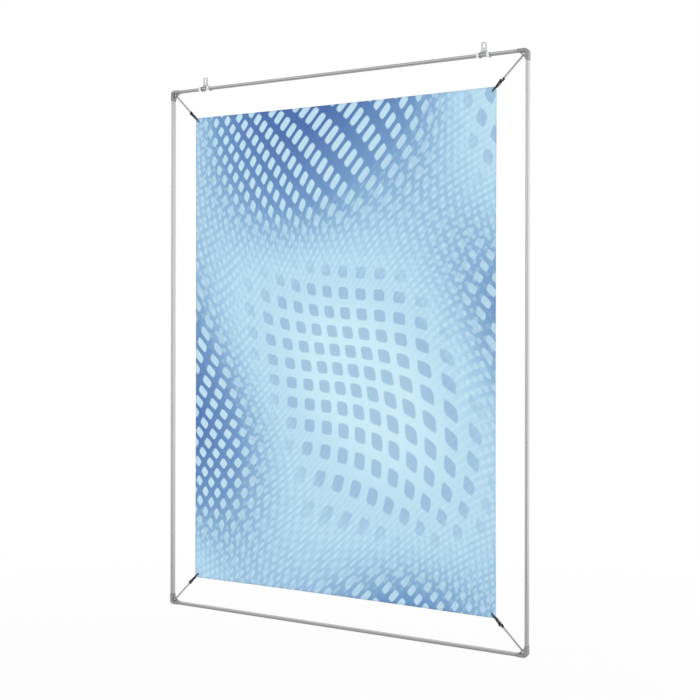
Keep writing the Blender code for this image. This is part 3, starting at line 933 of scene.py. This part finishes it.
def jawTeeth(level, shift, tipX):
    # bars across a jaw's face, as wide as the jaw is there
    size = clipSettings
    teeth = []
    for place in size["toothPlaces"]:
        x = place + shift
        share = (x - tipX) / (-size["lugFoot"] - tipX)
        width = size["tipWidth"] + (size["jawWidth"] - size["tipWidth"]) * share
        teeth.append(crossRod(x, level, size["toothRadius"], width - 2 * size["edgeRound"]))
    return teeth


def roundPivotEnd(shape, level):
    # makes the square end of a plate round about the pin
    return roundEdges(shape, abs(level) * nearlyAll, segments=10, chosen=atLevel(2, 1, level))


def lugShape(near, far):
    # a foot along the rear jaw's side, and a round end for the pin
    size = clipSettings
    inner, outer = size["jawInner"] + size["lugInset"], size["jawOuter"] - size["lugInset"]
    foot, reach = size["lugFoot"], size["pivotRadius"]
    lug = outlineSolid([
        (-foot, outer), (-foot, inner), (-reach, inner), (-reach, -reach),
        (reach, -reach), (reach, inner), (foot, inner), (foot, outer),
    ], near, far)
    roundPivotEnd(lug, -reach)
    along = runsAlong(2)
    return roundEdges(lug, size["edgeRound"], above=60, chosen=lambda edge: not along(edge))


def rearJawShape(low, high):
    # a jaw and a spine with the lugs between them, and the hub that holds the cord
    size = clipSettings
    half, inner, outer = size["jawWidth"] / 2, size["jawInner"], size["jawOuter"]
    arch, hubStart = size["archRadius"], size["hubStart"]
    jaw = outlineSolid([
        (low.x, inner), (-arch, inner), (-arch, outer), (low.x + size["tipTaper"], outer),
        (low.x, inner + size["tipThickness"]),
    ], -half, half)
    spineEnd = hubStart + size["spineSink"]
    spine = outlineSolid([(arch, inner), (spineEnd, inner), (spineEnd, outer), (arch, outer)], -half, half)
    bodies = [roundEdges(narrowTip(jaw, low.x), size["edgeRound"]), roundEdges(spine, size["edgeRound"])]
    bodies.append(lugShape(size["lugInner"], size["lugOuter"]))
    bodies.append(lugShape(-size["lugOuter"], -size["lugInner"]))
    hub = rodSolid(size["hubRadius"], hubStart, high.x, cordAxis, sides=48)
    bodies.append(roundEdges(hub, size["hubRound"], segments=4, above=60))
    bodies += jawTeeth(inner, 0, low.x)
    cuts = [
        rodSolid(size["pocketRadius"], hubStart - cutPast, size["pocketEnd"], cordAxis, sides=40),
        rodSolid(size["boreRadius"], hubStart, high.x + cutPast, cordAxis, sides=40),
        rodSolid(size["holeRadius"], -2 * size["lugOuter"], 2 * size["lugOuter"], pinAxis),
    ]
    return fuse(bodies, cuts)


def frontJawShape(low, high):
    # a jaw that runs on over the pin to the finger tab, and the knuckle that the pin goes through
    size = clipSettings
    half, inner, outer = size["jawWidth"] / 2, size["jawInner"], size["jawOuter"]
    arch, thick = size["archRadius"], size["tabThickness"]
    tabStart, tabEnd = size["tabStart"], size["tabEnd"]
    tilt = math.radians(size["tabAngle"])
    rise = (tabEnd - tabStart) * math.tan(tilt)
    across = Vector((math.sin(tilt), math.cos(tilt))) * thick
    tabRoot = Vector((tabStart - across.x, -arch - thick))
    tabTip = Vector((tabEnd - across.x, -arch - rise - across.y))
    plate = outlineSolid([
        (low.x, -inner), (0, -inner), (0, -arch), (tabStart, -arch), (tabEnd, -arch - rise), tabTip, tabRoot,
        (-tabStart, -arch - thick), (-tabStart - 2 * thick, -outer), (low.x + size["tipTaper"], -outer),
        (low.x, -inner - size["tipThickness"]),
    ], -half, half)
    bodies = [roundEdges(narrowTip(plate, low.x), size["edgeRound"], above=50)]
    knuckleHalf, reach, root = size["knuckleWidth"] / 2, size["knuckleRadius"], -arch - thick / 2
    knuckle = outlineSolid([(-reach, root), (reach, root), (reach, reach), (-reach, reach)],
                           -knuckleHalf - size["knuckleTrim"], knuckleHalf + size["knuckleTrim"])
    bodies.append(roundPivotEnd(knuckle, reach))
    for share in size["ridgeShares"]:
        x, y = tabRoot.lerp(tabTip, share)
        bodies.append(crossRod(x, y, size["ridgeRadius"], size["jawWidth"] - 3 * size["edgeRound"]))
    bodies += jawTeeth(-inner, size["toothShift"], low.x)
    lugRoom = [
        rodSolid(arch, knuckleHalf, size["jawWidth"], pinAxis, sides=48),
        rodSolid(arch, -size["jawWidth"], -knuckleHalf, pinAxis, sides=48),
    ]
    hole = rodSolid(size["holeRadius"], -size["jawWidth"], size["jawWidth"], pinAxis)
    return fuse(bodies, [*lugRoom, hole])


pinSettings = {
    "headRound": 0.25 * mm,
}


def pinShape(low, high):
    radius = (high.y - low.y) / 2
    shape = rodSolid(radius, low.z, high.z, pinAxis)
    return roundEdges(shape, pinSettings["headRound"], segments=4, above=60)


leafSettings = {
    "thickness": 0.3 * mm,
    "bendRound": 0.7 * mm,
    "armX": 8.4 * mm,
    "armSlope": 0.1 * mm,    # how far the arm rises to the finger tab
    "tipCurl": 0.5 * mm,
    "tipDrop": 0.15 * mm,    # how far the tip turns down again
}
steelLook = {
    "stops": ((0.35, "#8d8f92"), (0.65, "#b1b3b6")),
    "streak": 1.2 * mm,
    "gloss": (0.20, 0.38),
}


def leafShape(low, high):
    # a strip folded back on itself: a foot on the hub, a round bend, and an arm up to the finger tab
    size = leafSettings
    path = [
        (low.x, high.y), (high.x, high.y), (high.x, low.y + size["armSlope"]), (size["armX"], low.y),
        (size["armX"] - size["tipCurl"], low.y + size["tipDrop"]),
    ]
    shape = bmesh.new()
    verts = [shape.verts.new((x, y, low.z)) for x, y in path]
    edges = [shape.edges.new(pair) for pair in zip(verts, verts[1:])]
    strip = bmesh.ops.extrude_edge_only(shape, edges=edges)["geom"]
    bmesh.ops.translate(shape, vec=(0, 0, high.z - low.z), verts=ofKind(strip, bmesh.types.BMVert))
    bmesh.ops.recalc_face_normals(shape, faces=shape.faces)
    roundEdges(shape, size["bendRound"], segments=8, above=60)
    bmesh.ops.solidify(shape, geom=shape.faces[:], thickness=size["thickness"])
    bmesh.ops.recalc_face_normals(shape, faces=shape.faces)
    return shape


blackNylon = mouldedPlastic("blackMouldedNylon", clipLook)
springSteel = drawnMetal("springSteel", steelLook)
clipPieces = (
    # name, shape, CAD node, finish, slot, body it moves with
    ("rear_jaw", rearJawShape, "clip_base", blackNylon, "black_nylon", "clip"),
    ("front_jaw", frontJawShape, "clip_lever", blackNylon, "black_nylon", "jaw"),
    ("pivot_pin", pinShape, "clip_pin", springSteel, "spring_steel", "clip"),
    ("leaf_spring", leafShape, "clip_spring", springSteel, "spring_steel", "clip"),
)
for name, makeShape, node, finish, slot, body in clipPieces:
    low, high = firstBox(node)
    shape = makeShape(low, high)
    for quadrant, place in places.items():
        piece = makePiece(f"{name}_{quadrant}", shape, place, finish, f"{node}_{quadrant}",
                          f"{body}_{quadrant}")
        if name == "leaf_spring":
            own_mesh(piece)
        else:
            evenShading(piece)
    shape.free()
print("clips done")


# Printed sheet

sheetSettings = {
    "thickness": 0.4 * mm,
    "cell": 5 * mm,
    "bow": 1.2 * mm,            # how far each edge draws in between its corners
    "swell": 0.35 * mm,         # slow unevenness over the whole sheet
    "swellWaves": ((2.3, 1.1), (-0.6, 1.7)),  # radians across and up, from the middle to an edge
    "calmReach": 130 * mm,      # the clips hold the sheet flat, so the swell dies away this far from them
    "rippleHeight": 1.0 * mm,   # folds that fan out from the clips, before they die away
    "rippleReach": 70 * mm,
    "rippleStart": 1.5,         # how steeply they rise at the clip
    "rippleFade": 1.6,          # how fast they die away
    "ripples": 18,              # in a full turn
    "edgeShare": 0.35,          # the sheet's edges keep this much of swell and folds
    "edgeRise": 12,             # how fast the rest comes in from there
}


def liftSheet(point, u, v, corners):
    # how far a point stands off the flat; u and v run from -1 to 1 over the sheet
    size = sheetSettings
    (firstAcross, firstUp), (secondAcross, secondUp) = size["swellWaves"]
    lift = size["swell"] * math.sin(firstAcross * u + firstUp * v) * math.cos(secondAcross * u + secondUp * v)
    nearest = min((point - corner).length for corner in corners)
    lift *= min(1, nearest / size["calmReach"]) ** 2
    for corner in corners:
        away = point - corner
        reach = away.xz.length / size["rippleReach"]
        fan = math.sin(size["ripples"] * math.atan2(away.z, away.x))
        fade = reach * math.exp(-size["rippleFade"] * reach) * min(1, reach * size["rippleStart"])
        lift += size["rippleHeight"] * fan * fade
    fromEdge = max(0, 1 - max(abs(u), abs(v)))
    return lift * min(1, size["edgeRise"] * fromEdge + size["edgeShare"])


def addSheet():
    # a grid with a wall modifier, printed on the front and paler on the back
    size = sheetSettings
    low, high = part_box("printed_sheet")
    centre = (low + high) / 2
    halfX, halfZ = (high.x - low.x) / 2, (high.z - low.z) / 2
    columns, rows = round(2 * halfX / size["cell"]), round(2 * halfZ / size["cell"])
    place = Matrix.Translation(centre) @ frontView @ Matrix.Diagonal((halfX, halfZ, 1, 1))
    shape = bmesh.new()
    bmesh.ops.create_grid(shape, x_segments=columns, y_segments=rows, size=1, matrix=place)
    corners = [places[quadrant].translation for quadrant in quadrants]
    for vertex in shape.verts:
        u, v = (vertex.co.x - centre.x) / halfX, (vertex.co.z - centre.z) / halfZ
        lift = liftSheet(vertex.co, u, v, corners)
        vertex.co.x -= size["bow"] * u * (1 - v * v)
        vertex.co.z -= size["bow"] * v * (1 - u * u)
        vertex.co.y += lift
    front = printedPolyester("printedPolyester", centre, 0)
    back = printedPolyester("printedPolyesterBack", centre, printLook["backFade"])
    piece = makePiece("fabric_print", shape, Matrix(), front, "printed_sheet", "frame")
    shape.free()
    piece.data.materials.append(back)
    wall = piece.modifiers.new("thickness", "SOLIDIFY")
    wall.thickness = size["thickness"]
    wall.offset = 0
    wall.material_offset = 1
    wall.material_offset_rim = 1


addSheet()
print("sheet done")


# Hangers

hangerSettings = {
    "seatGap": 0.3 * mm,
    "wall": 1.4 * mm,
    "lip": 2.5 * mm,
    "collarLength": 4.2 * mm,
    "bridgeWidth": 8.0 * mm,
    "bridgeStep": 0.15 * mm,    # how far the bridge lies below the collars' tops
    "neckBase": 13.0 * mm,
    "neckTop": -9.6 * mm,       # from the origin's level, where the eye bears
    "eyeWidth": 5.2 * mm,
    "eyeHeight": 7.8 * mm,
    "eyeThickness": 3.0 * mm,
    "eyeRound": 0.6 * mm,
    "edgeRound": 0.4 * mm,
    "flareRound": 1.6 * mm,
}


def uprightShape(foot, shoulder, top):
    # the flared neck and the eye
    size = hangerSettings
    holeHalf, baseHalf, thick = size["eyeWidth"] / 2, size["neckBase"] / 2, size["eyeThickness"]
    eyeHalf = holeHalf + top
    upright = outlineSolid([
        (-baseHalf, foot), (baseHalf, foot), (baseHalf, shoulder), (eyeHalf, size["neckTop"]),
        (eyeHalf, top), (-eyeHalf, top), (-eyeHalf, size["neckTop"]), (-baseHalf, shoulder),
    ], -thick / 2, thick / 2, frontView)
    roundEdges(upright, eyeHalf * nearlyAll, segments=12, above=60, chosen=atLevel(1, 2, top))
    roundEdges(upright, size["flareRound"], segments=5, above=20, chosen=atLevel(1, 2, size["neckTop"]))
    across = runsAlong(1)
    eye = boxSolid((-holeHalf, -thick, -size["eyeHeight"]), (holeHalf, thick, 0))
    roundEdges(eye, holeHalf * nearlyAll, segments=12, chosen=across)
    upright = fuse([upright], [eye])
    return roundEdges(upright, size["eyeRound"], above=50, chosen=lambda edge: not across(edge))


def hangerShape(low, high):
    # two collars that snap round the rail, a bridge, and the upright, with the middle at X = 0
    size = hangerSettings
    railLow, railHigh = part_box("top_rail")
    innerY, outerY = railHigh.y + size["seatGap"], high.y
    innerTop, innerBottom = railHigh.z + size["seatGap"], railLow.z - size["seatGap"]
    outerTop, outerBottom = innerTop + size["wall"], low.z
    half = (high.x - low.x) / 2
    bodies = []
    for start in (-half, half - size["collarLength"]):
        collar = boxSolid((start, -outerY, outerBottom), (start + size["collarLength"], outerY, outerTop))
        bodies.append(roundEdges(collar, size["edgeRound"]))
    foot = innerTop - size["wall"] / 2  # the channel trims what stands on the rail
    reach, bridgeHalf = half - size["collarLength"] / 2, size["bridgeWidth"] / 2
    bridge = boxSolid((-reach, -bridgeHalf, foot), (reach, bridgeHalf, outerTop - size["bridgeStep"]))
    bodies.append(roundEdges(bridge, size["edgeRound"]))
    bodies.append(uprightShape(foot, outerTop, high.z))
    lipY, middleZ = innerY - size["lip"], (innerTop + innerBottom) / 2
    channel = boxSolid((-2 * half, -innerY, innerBottom), (2 * half, innerY, innerTop))
    mouth = boxSolid((-2 * half, -lipY, outerBottom - size["wall"]), (2 * half, lipY, middleZ))
    shape = fuse(bodies, [channel, mouth])
    bmesh.ops.triangulate(shape, faces=[face for face in shape.faces if len(face.verts) > 4])
    for face in shape.faces:
        middle = face.calc_center_median()
        onCollar = abs(middle.x) > half - size["collarLength"] and middle.z < outerTop + closeTo
        face.material_index = 0 if onCollar else 1
    return shape


milkyPlastic = milkyPolycarbonate()
# the clear plastic is painted grey at the rail's level and paler towards the eye
clearPlastic = clearPolycarbonatePaintedShade(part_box("top_rail")[1].z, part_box("hanger_left")[1].z)
shape = hangerShape(*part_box("hanger_left"))
for side in ("left", "right"):
    low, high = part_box(f"hanger_{side}")
    place = Matrix.Translation(((low.x + high.x) / 2, 0, 0))
    piece = makePiece(f"clear_hanger_{side}", shape, place, milkyPlastic, f"hanger_{side}",
                      f"{side}_hanger")
    piece.data.materials.append(clearPlastic)
    evenShading(piece)
shape.free()
print("hangers done")
